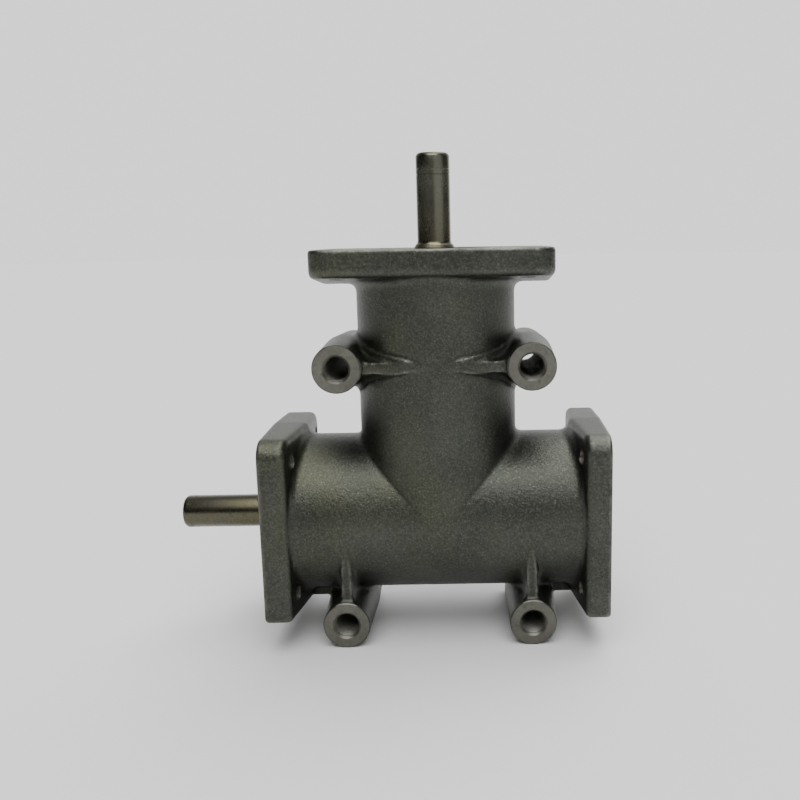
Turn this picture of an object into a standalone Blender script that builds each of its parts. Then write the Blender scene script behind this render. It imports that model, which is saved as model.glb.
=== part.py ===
"""Right angle bevel gearbox: a T-shaped cast housing with three flanges and four
through-drilled mounting bosses, two equal shafts at 90 degrees, a pair of mitre
gears, four ball bearings, two oil seals and an end cap.

The X axis runs along the horizontal shaft, its free end towards -X. The Z axis
runs up along the vertical shaft. The lower bosses stand on z = 0.
"""

import math

import bmesh
import bpy
from mathutils import Matrix, Vector

MM = 0.001
TAU = 2 * math.pi

# ---------------------------------------------------------------- dimensions, mm
# Distances are measured from the point where the two shaft axes cross.
TUBE_R = 33.5  # both tubes, outside
TUBE_V_R = 33.3  # vertical tube, a hair smaller so the two surfaces cross cleanly
LEFT_FACE = 71.5  # crossing to the left flange's machined face
RIGHT_FACE = 70.5
TOP_FACE = 113.0
FLANGE_HALF_Y = 36.0  # all three flanges, front to back
SIDE_FLANGE_HALF = 38.0  # side flanges, up and down
TOP_FLANGE_HALF = 48.0  # top flange, left to right
SIDE_INNER_EDGE = 60.3  # inner face of a side flange at its front edge
SIDE_INNER_REAR = 58.8  # at its rear edge
SIDE_INNER_MID = 56.2  # and at the parting plane: the casting draft
TOP_INNER_EDGE = 102.4
TOP_INNER_MID = 98.6
CORNER_R = 8.0
SMALL_CORNER_R = 2.5  # lower corners of the side flanges
FLANGE_DRAFT = 1.2  # how much wider the flanges are at the parting plane
FLANGE_HOLE_R = 3.3  # M6 clearance
SIDE_HOLES = (26.5, 28.5)  # half pattern: front to back, up and down
TOP_HOLES = (26.5, 37.5)  # half pattern: front to back, left to right

BOSS_X = 39.0  # half of the 78 mm boss spacing
BOSS_TOP = 66.3  # 108 mm between the rows
BOSS_BOTTOM = -41.7
BOSS_R = 9.75
BOSS_MID_R = 10.9  # drafted towards the parting plane
BOSS_FACE = 30.0  # machined end faces, front and back
BOSS_HOLE_R = 5.25  # M10, fine clearance

BORE_R = 23.5  # 47 mm bearing bores
GEAR_BORE_R = 22.8  # lower part of the vertical bore
GROOVE_R = 24.75  # internal circlip grooves
GROOVE_W = 1.95

SEAT_R = 8.5  # 17 mm bearing seats
STUB_R = 7.0  # 14 mm shaft ends
COLLAR_R = 8.15  # collar just outside each seal
CORE_R = 10.0  # 20 mm middle of the horizontal shaft
LEFT_END = -112.0
TOP_END = 151.5

BEARING_W = 14.0  # 17 x 47 x 14
BALL_PITCH_R = 16.0
BALL_R = 4.1
BALLS = 7
H_BEARINGS = (-60.0, 46.0)  # low end of each, along X
V_BEARINGS = (46.0, 85.0)  # low end of each, along Z

MODULE = 2.0
TEETH = 20
FACE_W = 9.0
BACKLASH = 0.3
PRESSURE = math.radians(20)

AXIS_X = -(LEFT_END + RIGHT_FACE) / 2  # the crossing, from the part's origin
AXIS_Z = -(BOSS_BOTTOM - BOSS_R)


# ---------------------------------------------------------------- scene helpers
for old in list(bpy.data.objects):
    bpy.data.objects.remove(old, do_unlink=True)

scene = bpy.context.scene
helpers = bpy.data.collections.new("helpers")
scene.collection.children.link(helpers)

crossing = bpy.data.objects.new("axes_crossing", None)
crossing.location = (AXIS_X * MM, 0, AXIS_Z * MM)
crossing.empty_display_size = 0.02
scene.collection.objects.link(crossing)


def material(name, colour, roughness, metallic):
    made = bpy.data.materials.new(name)
    made.use_nodes = True
    bsdf = made.node_tree.nodes["Principled BSDF"]
    bsdf.inputs["Base Color"].default_value = (*colour, 1)
    bsdf.inputs["Roughness"].default_value = roughness
    bsdf.inputs["Metallic"].default_value = metallic
    made.diffuse_color = (*colour, 1)
    return made


CAST = ((0.20, 0.205, 0.195), 0.55, 0.8)
STEEL = ((0.42, 0.40, 0.33), 0.35, 1.0)
HARD_STEEL = ((0.55, 0.56, 0.57), 0.22, 1.0)
GEAR_STEEL = ((0.34, 0.35, 0.36), 0.35, 1.0)
SPRING = ((0.10, 0.10, 0.11), 0.45, 1.0)
RUBBER = ((0.02, 0.02, 0.022), 0.7, 0.0)
CAGE = ((0.62, 0.50, 0.22), 0.4, 1.0)


def finish(bm, name, look, helper=False, collection=None):
    """Turns a bmesh in millimetres into an object in metres at the crossing."""
    bmesh.ops.remove_doubles(bm, verts=bm.verts, dist=0.0005)
    bmesh.ops.recalc_face_normals(bm, faces=bm.faces)
    bmesh.ops.scale(bm, vec=(MM, MM, MM), verts=bm.verts)
    mesh = bpy.data.meshes.new(name)
    bm.to_mesh(mesh)
    bm.free()
    mesh.shade_smooth()
    mesh.set_sharp_from_angle(angle=math.radians(32))
    made = bpy.data.objects.new(name, mesh)
    if helper:
        (collection or helpers).objects.link(made)
        made.hide_render = True
        made.display_type = "WIRE"
    else:
        scene.collection.objects.link(made)
    if look:
        mesh.materials.append(material(name, *look))
    made.parent = crossing
    return made


AXES = {
    "X": (Vector((1, 0, 0)), Vector((0, 1, 0)), Vector((0, 0, 1))),
    "Y": (Vector((0, 1, 0)), Vector((0, 0, 1)), Vector((1, 0, 0))),
    "Z": (Vector((0, 0, 1)), Vector((1, 0, 0)), Vector((0, 1, 0))),
}


def spun(bm, profile, axis, segments, centre=(0, 0, 0), solid=True, start=0.0, sweep=TAU):
    """Spins (distance along, radius) points about an axis. A solid profile runs from
    the axis out and back to it; a ring profile is a closed loop clear of it."""
    along, first, second = AXES[axis]
    centre = Vector(centre)
    radial = first * math.cos(start) + second * math.sin(start)
    verts = [bm.verts.new(centre + along * a + radial * r) for a, r in profile]
    full = abs(sweep - TAU) < 1e-6
    if full:
        pairs = list(zip(verts, verts[1:]))
        if not solid:
            pairs.append((verts[-1], verts[0]))
        geom = [bm.edges.new(pair) for pair in pairs]
    else:
        geom = [bm.faces.new(verts)]
    bmesh.ops.spin(
        bm,
        geom=geom,
        cent=centre,
        axis=along,
        angle=sweep,
        steps=segments,
        use_merge=full,
    )
    return bm


def solid_of_revolution(name, profile, axis, segments, look=None, helper=False, **more):
    bm = bmesh.new()
    spun(bm, [(profile[0][0], 0.0), *profile, (profile[-1][0], 0.0)], axis, segments, **more)
    return finish(bm, name, look, helper)


def ring_of_revolution(name, profile, axis, segments, look=None, helper=False, **more):
    bm = bmesh.new()
    spun(bm, profile, axis, segments, solid=False, **more)
    return finish(bm, name, look, helper)


def hull(name, points, collection=None):
    bm = bmesh.new()
    for point in points:
        bm.verts.new(point)
    bmesh.ops.convex_hull(bm, input=bm.verts)
    loose = [v for v in bm.verts if not v.link_faces]
    bmesh.ops.delete(bm, geom=loose, context="VERTS")
    return finish(bm, name, None, helper=True, collection=collection)


def boolean(target, name, operation, thing):
    cut = target.modifiers.new(name, "BOOLEAN")
    cut.operation = operation
    cut.solver = "EXACT"
    if isinstance(thing, bpy.types.Collection):
        cut.operand_type = "COLLECTION"
        cut.collection = thing
    else:
        cut.object = thing
    return cut


def block(low, high):
    return [(x, y, z) for x in (low[0], high[0]) for y in (low[1], high[1]) for z in (low[2], high[2])]


# ---------------------------------------------------------------- housing, outside
adds = bpy.data.collections.new("housing_adds")
cuts = bpy.data.collections.new("housing_cuts")
helpers.children.link(adds)
helpers.children.link(cuts)

TUBE_SEGMENTS = 36

housing = solid_of_revolution(
    "housing",
    [(-64, 34.6), (-57.0, 34.6), (-53.8, TUBE_R), (53.8, TUBE_R), (57.0, 34.6), (64, 34.6)],
    "X", TUBE_SEGMENTS, CAST,
)


def into(collection, made):
    for old in made.users_collection:
        old.objects.unlink(made)
    collection.objects.link(made)
    return made


into(adds, solid_of_revolution(
    "tube_vertical",
    [(1.0, TUBE_V_R), (96.2, TUBE_V_R), (99.6, 34.6), (108, 34.6)],
    "Z", TUBE_SEGMENTS, helper=True,
))


def flange_outline(half_u, half_v, inset, lower_radius, corner_steps=3):
    """Rounded rectangle with a drafted point on each long centre line,
    anticlockwise. lower_radius is for the two corners at negative v."""
    points = []
    for sign_u, sign_v, turn in ((1, 1, 0), (-1, 1, 1), (-1, -1, 2), (1, -1, 3)):
        radius = max((CORNER_R if sign_v > 0 else lower_radius) - inset, 0.6)
        for step in range(corner_steps + 1):
            angle = (turn + step / corner_steps) * math.pi / 2
            points.append((
                sign_u * (half_u - inset - radius) + radius * math.cos(angle),
                sign_v * (half_v - inset - radius) + radius * math.sin(angle),
            ))
        if turn in (0, 2):
            points.append((0.0, sign_v * (half_v + FLANGE_DRAFT - inset)))
    return points


def flange(name, half_v, lower_radius, face, inner_edge, inner_rear, inner_mid, place):
    """Lofts a flange. u runs front to back, v across, w out of the machined face."""
    half_u = FLANGE_HALF_Y
    bm = bmesh.new()

    def inner(u):
        edge = inner_edge if u < 0 else inner_rear
        return edge + (inner_mid - edge) * (1 - abs(u) / half_u)

    def layer(inset, w):
        return [(u, v, w) for u, v in flange_outline(half_u, half_v, inset, lower_radius)]

    def inner_layer(inset, rise):
        return [(u, v, inner(u) + rise) for u, v in flange_outline(half_u, half_v, inset, lower_radius)]

    layers = [
        layer(0.4, face), layer(0.0, face - 0.4),
        inner_layer(0.0, 2.6), inner_layer(0.7, 0.8), inner_layer(2.4, 0.0),
    ]
    rings = [[bm.verts.new(point) for point in points] for points in layers]
    bm.faces.new(rings[0])
    for low, high in zip(rings, rings[1:]):
        for i in range(len(low)):
            j = (i + 1) % len(low)
            bm.faces.new((low[i], low[j], high[j], high[i]))
    last = rings[-1]
    middle = [i for i, vert in enumerate(last) if abs(vert.co.x) < 1e-6]
    bm.faces.new([last[i] for i in range(middle[0], middle[1] + 1)])
    bm.faces.new([last[i % len(last)] for i in range(middle[1], middle[0] + len(last) + 1)])
    bmesh.ops.transform(bm, matrix=place, verts=bm.verts)
    return finish(bm, name, None, helper=True, collection=adds)


def axes_matrix(u, v, w):
    return Matrix((
        (u[0], v[0], w[0], 0), (u[1], v[1], w[1], 0), (u[2], v[2], w[2], 0), (0, 0, 0, 1),
    ))


LEFT = axes_matrix((0, 1, 0), (0, 0, 1), (-1, 0, 0))
RIGHT = axes_matrix((0, 1, 0), (0, 0, 1), (1, 0, 0))
TOP = axes_matrix((0, 1, 0), (1, 0, 0), (0, 0, 1))
for label, face, place in (("left", LEFT_FACE, LEFT), ("right", RIGHT_FACE, RIGHT)):
    flange("flange_" + label, SIDE_FLANGE_HALF, SMALL_CORNER_R, face,
           SIDE_INNER_EDGE, SIDE_INNER_REAR, SIDE_INNER_MID, place)
flange("flange_top", TOP_FLANGE_HALF, CORNER_R, TOP_FACE, TOP_INNER_EDGE, TOP_INNER_EDGE, TOP_INNER_MID, TOP)


def boss(name, x, z, lift):
    """A drafted barrel along Y. lift raises its wide middle, which keeps the
    underside of a lower boss straight, so that the housing stands on it."""
    bm = bmesh.new()
    stations = (
        (-BOSS_FACE, BOSS_R - 0.4, 0), (-BOSS_FACE + 0.4, BOSS_R, 0), (0, BOSS_MID_R, 1),
        (BOSS_FACE - 0.4, BOSS_R, 0), (BOSS_FACE, BOSS_R - 0.4, 0),
    )
    steps = 24
    rings = []
    for y, r, middle in stations:
        up = lift * middle * (BOSS_MID_R - BOSS_R)
        rings.append([
            bm.verts.new((x + r * math.sin(TAU * i / steps), y, z + up - r * math.cos(TAU * i / steps)))
            for i in range(steps)
        ])
    bm.faces.new(rings[0])
    bm.faces.new(rings[-1])
    for low, high in zip(rings, rings[1:]):
        for i in range(steps):
            j = (i + 1) % steps
            bm.faces.new((low[i], low[j], high[j], high[i]))
    finish(bm, name, None, helper=True, collection=adds)


for side, x in (("left", -BOSS_X), ("right", BOSS_X)):
    s = 1 if x > 0 else -1
    boss("boss_top_" + side, x, BOSS_TOP, 0)
    boss("boss_bottom_" + side, x, BOSS_BOTTOM, 1)
    # Rib across the front and back of the vertical tube to each upper boss.
    points = []
    for y in (-1, 1):
        for half in (-2.0, 2.0):
            points.append((s * 5.0, y * 33.2, BOSS_TOP + half))
            points.append((s * 30.0, y * 27.6, BOSS_TOP + half))
    for half in (-4.2, 4.2):
        points.append((s * 4.0, 0.7, BOSS_TOP + half))
        points.append((s * 32.0, 0.7, BOSS_TOP + half))
    hull("rib_top_" + side, points, adds)
    # Spread root where that rib and the boss run into the tube.
    points = []
    for y in (-1, 1):
        for half in (-1.6, 1.6):
            points.append((s * 12.0, y * 30.6, BOSS_TOP + half))
        for half in (-6.2, 6.2):
            points.append((s * 27.0, y * 20.5, BOSS_TOP + half))
        for half in (-9.6, 9.6):
            points.append((s * 34.0, y * 9.0, BOSS_TOP + half))
    hull("root_top_" + side, points, adds)
    # Upright rib above each lower boss.
    points = []
    for y in (-1, 1):
        for half in (-2.1, 2.1):
            points.append((x + half, y * 32.4, -7.0))
            points.append((x + half, y * 28.0, -30.5))
            points.append((x + half, y * 27.2, -35.5))
    for half in (-4.0, 4.0):
        points.append((x + half, 0.5, -6.0))
        points.append((x + half, 0.5, -36.0))
    hull("rib_bottom_" + side, points, adds)
    # Web in the parting plane, from the lower boss to the side flange.
    hull("web_" + side, block(
        (min(s * 42, s * 59), -4.3, -38.0), (max(s * 42, s * 59), 4.3, -27.0)), adds)

boolean(housing, "join", "UNION", adds)

# ---------------------------------------------------------------- housing, inside
H_GROOVES = (-62.2, -45.85, 60.15)  # low end of each, along X
V_GROOVES = (43.9, 99.15)


def grooved(low, high, radius, grooves, mouth_low=None, mouth_high=None):
    points = [(low, radius)] if mouth_low is None else [(low, radius + 2), (mouth_low, radius + 0.8), (mouth_low + 0.8, radius)]
    for at in grooves:
        points += [(at, radius), (at, GROOVE_R), (at + GROOVE_W, GROOVE_R), (at + GROOVE_W, radius)]
    points += [(high, radius)] if mouth_high is None else [(mouth_high - 0.8, radius), (mouth_high, radius + 0.8), (high, radius + 2)]
    return points


horizontal_bore = grooved(-72.7, 71.7, BORE_R, H_GROOVES, -LEFT_FACE, RIGHT_FACE)
into(cuts, solid_of_revolution("bore_horizontal", horizontal_bore, "X", TUBE_SEGMENTS, helper=True))
vertical_bore = [(-2.0, GEAR_BORE_R), (42.0, GEAR_BORE_R), (42.7, BORE_R)] + grooved(
    43.0, TOP_FACE + 1.2, BORE_R, V_GROOVES, None, TOP_FACE)[1:]
into(cuts, solid_of_revolution("bore_vertical", vertical_bore, "Z", TUBE_SEGMENTS, helper=True))

drill = bmesh.new()
for x in (-BOSS_X, BOSS_X):
    for z in (BOSS_TOP, BOSS_BOTTOM):
        far = BOSS_FACE + 1
        spun(drill, [(-far, 0), (-far, BOSS_HOLE_R), (far, BOSS_HOLE_R), (far, 0)], "Y", 18, (x, 0, z))
into(cuts, finish(drill, "boss_drills", None, helper=True))

drill = bmesh.new()
for u in (-SIDE_HOLES[0], SIDE_HOLES[0]):
    for v in (-SIDE_HOLES[1], SIDE_HOLES[1]):
        for low, high in ((-LEFT_FACE - 1, -SIDE_INNER_MID + 2), (SIDE_INNER_MID - 2, RIGHT_FACE + 1)):
            spun(drill, [(low, 0), (low, FLANGE_HOLE_R), (high, FLANGE_HOLE_R), (high, 0)], "X", 10, (0, u, v))
for u in (-TOP_HOLES[0], TOP_HOLES[0]):
    for v in (-TOP_HOLES[1], TOP_HOLES[1]):
        low, high = TOP_INNER_MID - 2, TOP_FACE + 1
        spun(drill, [(low, 0), (low, FLANGE_HOLE_R), (high, FLANGE_HOLE_R), (high, 0)], "Z", 10, (v, u, 0))
into(cuts, finish(drill, "flange_drills", None, helper=True))

boolean(housing, "machine", "DIFFERENCE", cuts)


# ---------------------------------------------------------------- shafts and keys
def keyed_shaft(name, profile, axis, key_low, key_high, key_w, key_floor, surface):
    made = solid_of_revolution(name, profile, axis, 20, STEEL)
    low = {"X": (key_low, -key_w / 2, key_floor), "Z": (-surface - 1, -key_w / 2, key_low)}[axis]
    high = {"X": (key_high, key_w / 2, surface + 1), "Z": (-key_floor, key_w / 2, key_high)}[axis]
    cutter = hull(name + "_keyseat", block(low, high))
    boolean(made, "keyseat", "DIFFERENCE", cutter)
    return made


keyed_shaft(
    "horizontal_shaft",
    [(LEFT_END, STUB_R - 1.0), (LEFT_END + 1.0, STUB_R), (-LEFT_FACE - 2.0, STUB_R),
     (-LEFT_FACE - 2.0, COLLAR_R), (-LEFT_FACE - 0.2, SEAT_R),
     (-45.7, SEAT_R), (-45.7, CORE_R), (13.1, CORE_R), (13.1, 9.2), (14.4, 9.2), (14.4, CORE_R),
     (33.0, CORE_R), (33.0, 9.2), (34.4, 9.2), (34.4, CORE_R),
     (45.7, CORE_R), (45.7, SEAT_R), (60.6, SEAT_R), (61.4, SEAT_R - 0.8)],
    "X", 17.2, 31.3, 6.0, 6.5, CORE_R,
)
keyed_shaft(
    "vertical_shaft",
    [(12.1, SEAT_R - 0.5), (12.6, SEAT_R), (13.35, SEAT_R), (13.35, 7.8), (14.55, 7.8), (14.55, SEAT_R),
     (60.3, SEAT_R), (60.3, 10.5), (84.7, 10.5), (84.7, SEAT_R),
     (TOP_FACE + 0.2, SEAT_R), (TOP_FACE + 2.0, COLLAR_R), (TOP_FACE + 2.0, STUB_R),
     (TOP_END - 1.0, STUB_R), (TOP_END, STUB_R - 1.0)],
    "Z", 18.2, 31.3, 5.0, 5.5, SEAT_R,
)


def key(name, low, high):
    bm = bmesh.new()
    for point in block(low, high):
        bm.verts.new(point)
    bmesh.ops.convex_hull(bm, input=bm.verts)
    bmesh.ops.bevel(bm, geom=list(bm.edges), offset=0.4, segments=1, affect="EDGES")
    return finish(bm, name, SPRING)


key("gear_key", (17.5, -2.75, 6.8), (31.0, 2.75, 12.4))
key("pinion_key", (-10.6, -2.25, 18.5), (-5.8, 2.25, 31.0))

# ---------------------------------------------------------------- mitre gears
PITCH_R = MODULE * TEETH / 2
CONE = PITCH_R * math.sqrt(2)  # pitch cone's slant length; the cones are at 45 degrees


def involute(angle):
    return math.tan(angle) - angle


def half_tooth(h):
    """Half a tooth's angle on the gear, at height h above the pitch line at the
    large end, from the equivalent spur gear on the back cone."""
    virtual = PITCH_R * math.sqrt(2)
    base = virtual * math.cos(PRESSURE)
    radius = max(virtual + h, base)
    at = math.acos(min(1.0, base / radius))
    thickness = (math.pi * MODULE / 2 - BACKLASH) / 2
    angle = thickness / virtual + involute(PRESSURE) - involute(at)
    return angle * math.sqrt(2)


def mitre_gear(name, bore_r, hub_r, hub_end, place, phase, key_w, key_top):
    """Apex at the crossing, body towards +w, first tooth centred on +u by phase."""
    bm = bmesh.new()
    heights = (-1.2 * MODULE, -0.45 * MODULE, 0.35 * MODULE, MODULE)
    side = [(h, -half_tooth(h)) for h in heights] + [(h, half_tooth(h)) for h in reversed(heights)]

    def toothed(slant):
        share = slant / CONE
        ring = []
        for tooth in range(TEETH):
            centre = TAU * (tooth + phase) / TEETH
            for h, angle in side:
                r = slant / math.sqrt(2) + h * share / math.sqrt(2)
                w = slant / math.sqrt(2) - h * share / math.sqrt(2)
                turn = centre + angle
                ring.append(bm.verts.new((r * math.cos(turn), r * math.sin(turn), w)))
        return ring

    def plain(r, w):
        return [
            bm.verts.new((r * math.cos(TAU * (i + phase) / TEETH), r * math.sin(TAU * (i + phase) / TEETH), w))
            for i in range(TEETH)
        ]

    def join_same(low, high):
        for i in range(len(low)):
            j = (i + 1) % len(low)
            bm.faces.new((low[i], low[j], high[j], high[i]))

    def join_teeth(teeth, ring):
        per = len(side)
        for t in range(TEETH):
            n = (t + 1) % TEETH
            tooth = [teeth[t * per + i] for i in range(per)]
            bm.faces.new(tooth)
            bm.faces.new((teeth[t * per + per - 1], teeth[n * per], ring[n], ring[t]))
            bm.faces.new((teeth[t * per], teeth[t * per + per - 1], ring[t]))

    small, large = toothed(CONE - FACE_W), toothed(CONE)
    join_same(small, large)
    front = plain(11.4, 15.3)
    front_bore = plain(bore_r, 15.3)
    back = plain(17.2, 22.7)
    shoulder = plain(hub_r, 24.0)
    hub = plain(hub_r, hub_end)
    back_bore = plain(bore_r, hub_end)
    join_teeth(small, front)
    join_same(front, front_bore)
    join_teeth(large, back)
    join_same(back, shoulder)
    join_same(shoulder, hub)
    join_same(hub, back_bore)
    join_same(back_bore, front_bore)
    bmesh.ops.transform(bm, matrix=place, verts=bm.verts)
    made = finish(bm, name, GEAR_STEEL)
    corners = [place @ Vector(p) for p in block((2.0, -key_w / 2, 14.0), (key_top, key_w / 2, hub_end + 1))]
    boolean(made, "keyway", "DIFFERENCE", hull(name + "_keyway", corners))
    return made


# On the horizontal shaft w is +X and u is +Z; on the vertical shaft w is +Z and
# u is -X, so the mesh lies in its half turn, where half a pitch makes a gap.
mitre_gear("bevel_gear", CORE_R + 0.2, 13.4, 32.7, axes_matrix((0, 0, 1), (0, 1, 0), (1, 0, 0)), 0.0, 6.1, 12.7)
mitre_gear("bevel_pinion", SEAT_R + 0.2, 12.4, 32.7, axes_matrix((-1, 0, 0), (0, 1, 0), (0, 0, 1)), 0.5, 5.1, 10.9)


# ---------------------------------------------------------------- bearings
def bearing(name, axis, low):
    middle = low + BEARING_W / 2
    groove = BALL_R + 0.35
    half = BEARING_W / 2

    def arc(centre_sign, degrees):
        return [
            (middle + groove * math.sin(math.radians(d)), BALL_PITCH_R + centre_sign * groove * math.cos(math.radians(d)))
            for d in degrees
        ]

    outer_in, inner_out = 19.0, 13.0
    outer_r, bore = BORE_R - 0.15, SEAT_R + 0.15
    profile = [(middle - half, outer_r - 0.6), (middle - half + 0.6, outer_r), (middle + half - 0.6, outer_r),
               (middle + half, outer_r - 0.6), (middle + half, outer_in)]
    profile += arc(1, (44, 15, -15, -44)) + [(middle - half, outer_in)]
    ring_of_revolution(name + "_outer_ring", profile, axis, 20, HARD_STEEL)
    profile = [(middle - half, inner_out)] + arc(-1, (-44, -15, 15, 44))
    profile += [(middle + half, inner_out), (middle + half, bore), (middle - half, bore)]
    ring_of_revolution(name + "_inner_ring", profile, axis, 20, HARD_STEEL)
    # The balls are held in a ribbon cage, which makes them one piece.
    cage = ring_of_revolution(
        name + "_ball_cage",
        [(middle - 2.4, 15.1), (middle - 2.4, 16.9), (middle + 2.4, 16.9), (middle + 2.4, 15.1)],
        axis, 14, CAGE,
    )
    along, first, second = AXES[axis]
    bm = bmesh.new()
    for i in range(BALLS):
        turn = TAU * (i + 0.5) / BALLS + 0.07
        centre = along * middle + (first * math.cos(turn) + second * math.sin(turn)) * BALL_PITCH_R
        bmesh.ops.create_icosphere(bm, subdivisions=2, radius=BALL_R, matrix=Matrix.Translation(centre))
    balls = finish(bm, name + "_balls", None, helper=True)
    boolean(cage, "balls", "UNION", balls)


bearing("left_bearing", "X", H_BEARINGS[0])
bearing("right_bearing", "X", H_BEARINGS[1])
bearing("lower_bearing", "Z", V_BEARINGS[0])
bearing("upper_bearing", "Z", V_BEARINGS[1])


# ---------------------------------------------------------------- small pieces
def circlip(name, axis, low, thick, r_in, r_out, gap_degrees, start):
    bm = bmesh.new()
    sweep = TAU - math.radians(gap_degrees)
    spun(bm, [(low, r_in), (low, r_out), (low + thick, r_out), (low + thick, r_in)],
         axis, 16, start=start, sweep=sweep)
    return finish(bm, name, SPRING)


circlip("left_bearing_outer_circlip", "X", H_GROOVES[0] + 0.15, 1.65, 20.6, 24.5, 24, 0.2)
circlip("left_bearing_inner_circlip", "X", H_GROOVES[1] + 0.15, 1.65, 20.6, 24.5, 24, 0.2)
circlip("right_bearing_circlip", "X", H_GROOVES[2] + 0.15, 1.65, 20.6, 24.5, 24, 0.2)
circlip("lower_bearing_circlip", "Z", V_GROOVES[0] + 0.15, 1.65, 20.6, 24.5, 24, 0.2)
circlip("upper_bearing_circlip", "Z", V_GROOVES[1] + 0.15, 1.65, 20.6, 24.5, 24, 0.2)
circlip("gear_front_circlip", "X", 13.25, 1.0, 9.4, 12.2, 40, 3.5)
circlip("gear_back_circlip", "X", 33.15, 1.1, 9.4, 13.0, 40, 3.5)
circlip("pinion_circlip", "Z", 13.45, 1.0, 8.0, 11.2, 40, 3.5)

ring_of_revolution(
    "pinion_spacer",
    [(33.0, SEAT_R + 0.2), (33.0, 11.4), (33.4, 11.8), (45.3, 11.8), (45.7, 11.4), (45.7, SEAT_R + 0.2)],
    "Z", 20, STEEL,
)


def oil_seal(name, axis, sign, face):
    """A rubber-covered ring with a recessed lip side, its back towards the bearing."""
    outside, back = face - 0.3, face - 7.3
    profile = [
        (outside, 23.2), (outside, 20.4), (outside - 1.1, 19.6), (outside - 1.4, 12.2),
        (outside - 0.7, 10.9), (outside - 0.7, SEAT_R + 0.6), (outside - 1.8, SEAT_R + 0.3),
        (back, SEAT_R + 0.5), (back, 23.3 - 0.6), (back + 0.7, BORE_R - 0.2), (outside - 0.4, BORE_R - 0.2),
    ]
    return ring_of_revolution(name, [(sign * a, r) for a, r in profile], axis, 20, RUBBER)


oil_seal("left_oil_seal", "X", -1, LEFT_FACE)
oil_seal("top_oil_seal", "Z", 1, TOP_FACE)

solid_of_revolution(
    "end_cap",
    [(RIGHT_FACE - 6.8, 22.4), (RIGHT_FACE - 6.2, BORE_R - 0.2), (RIGHT_FACE - 0.9, BORE_R - 0.2),
     (RIGHT_FACE - 0.4, 22.8), (RIGHT_FACE - 0.4, 20.6), (RIGHT_FACE - 1.8, 19.4)],
    "X", 24, RUBBER,
)
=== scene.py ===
import math

import bmesh
import bpy
import numpy as np
from mathutils import Matrix, Vector


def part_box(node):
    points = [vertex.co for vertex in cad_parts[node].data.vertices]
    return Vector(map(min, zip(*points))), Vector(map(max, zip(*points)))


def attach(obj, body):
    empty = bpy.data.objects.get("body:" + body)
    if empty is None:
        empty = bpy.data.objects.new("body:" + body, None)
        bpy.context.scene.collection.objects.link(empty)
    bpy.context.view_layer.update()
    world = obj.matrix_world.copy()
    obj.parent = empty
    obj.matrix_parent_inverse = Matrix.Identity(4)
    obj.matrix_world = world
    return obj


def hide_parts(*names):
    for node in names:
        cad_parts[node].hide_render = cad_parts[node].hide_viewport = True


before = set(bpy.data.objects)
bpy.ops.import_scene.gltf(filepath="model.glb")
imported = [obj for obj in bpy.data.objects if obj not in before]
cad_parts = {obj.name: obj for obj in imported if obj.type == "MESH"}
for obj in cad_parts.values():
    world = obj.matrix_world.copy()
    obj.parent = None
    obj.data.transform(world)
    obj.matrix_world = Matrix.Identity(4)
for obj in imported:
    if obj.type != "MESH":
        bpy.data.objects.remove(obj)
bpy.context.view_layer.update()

# Everything below is written in millimetres from the point where the two shaft axes
# cross, and turned into metres in the part's frame when a mesh is made.
MM = 0.001
TAU = 2 * math.pi
low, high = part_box("housing")
CX = low.x / MM + 71.5
CZ = high.z / MM - 113.0

LEFT_FACE, RIGHT_FACE, TOP_FACE = 71.5, 70.5, 113.0
BOSS_X, BOSS_TOP, BOSS_BOTTOM, BOSS_FACE = 39.0, 66.3, -41.7, 30.0


# ---------------------------------------------------------------- meshes
def object_from(name, verts_mm, faces):
    """verts in mm from the crossing, faces as one array of quads or a list."""
    mesh = bpy.data.meshes.new(name)
    co = (np.asarray(verts_mm, float) + (CX, 0, CZ)) * MM
    if isinstance(faces, np.ndarray):
        mesh.vertices.add(len(co))
        mesh.vertices.foreach_set("co", co.ravel().astype(np.float32))
        per = faces.shape[1]
        mesh.loops.add(faces.size)
        mesh.loops.foreach_set("vertex_index", faces.ravel().astype(np.int32))
        mesh.polygons.add(len(faces))
        mesh.polygons.foreach_set("loop_start", np.arange(0, faces.size, per, dtype=np.int32))
        mesh.update(calc_edges=True)
    else:
        mesh.from_pydata([tuple(c) for c in co], [], faces)
    mesh.validate()
    made = bpy.data.objects.new(name, mesh)
    bpy.context.scene.collection.objects.link(made)
    return made


def revolve(profile, axis, steps, centre=(0.0, 0.0, 0.0), closed=False):
    """Spins (along, radius) points about an axis. Returns verts and faces. A profile
    that isn't closed has its two ends capped."""
    along = {"X": 0, "Y": 1, "Z": 2}[axis]
    first, second = {"X": (1, 2), "Y": (2, 0), "Z": (0, 1)}[axis]
    verts, faces = [], []
    n = len(profile)
    for i in range(steps):
        turn = TAU * i / steps
        for a, r in profile:
            p = [0.0, 0.0, 0.0]
            p[along] = a
            p[first] = r * math.cos(turn)
            p[second] = r * math.sin(turn)
            verts.append([p[k] + centre[k] for k in range(3)])
    for i in range(steps):
        j = (i + 1) % steps
        for k in range(n if closed else n - 1):
            m = (k + 1) % n
            faces.append((i * n + k, j * n + k, j * n + m, i * n + m))
    if not closed:
        faces.append([i * n for i in reversed(range(steps))])
        faces.append([i * n + n - 1 for i in range(steps)])
    return verts, faces


def merged(parts):
    verts, faces = [], []
    for v, f in parts:
        base = len(verts)
        verts += v
        faces += [tuple(base + i for i in face) for face in f]
    return verts, faces


def outward(made):
    """Makes every shell's faces point outwards."""
    bm = bmesh.new()
    bm.from_mesh(made.data)
    bmesh.ops.recalc_face_normals(bm, faces=bm.faces)
    bm.to_mesh(made.data)
    bm.free()
    return made


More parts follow.
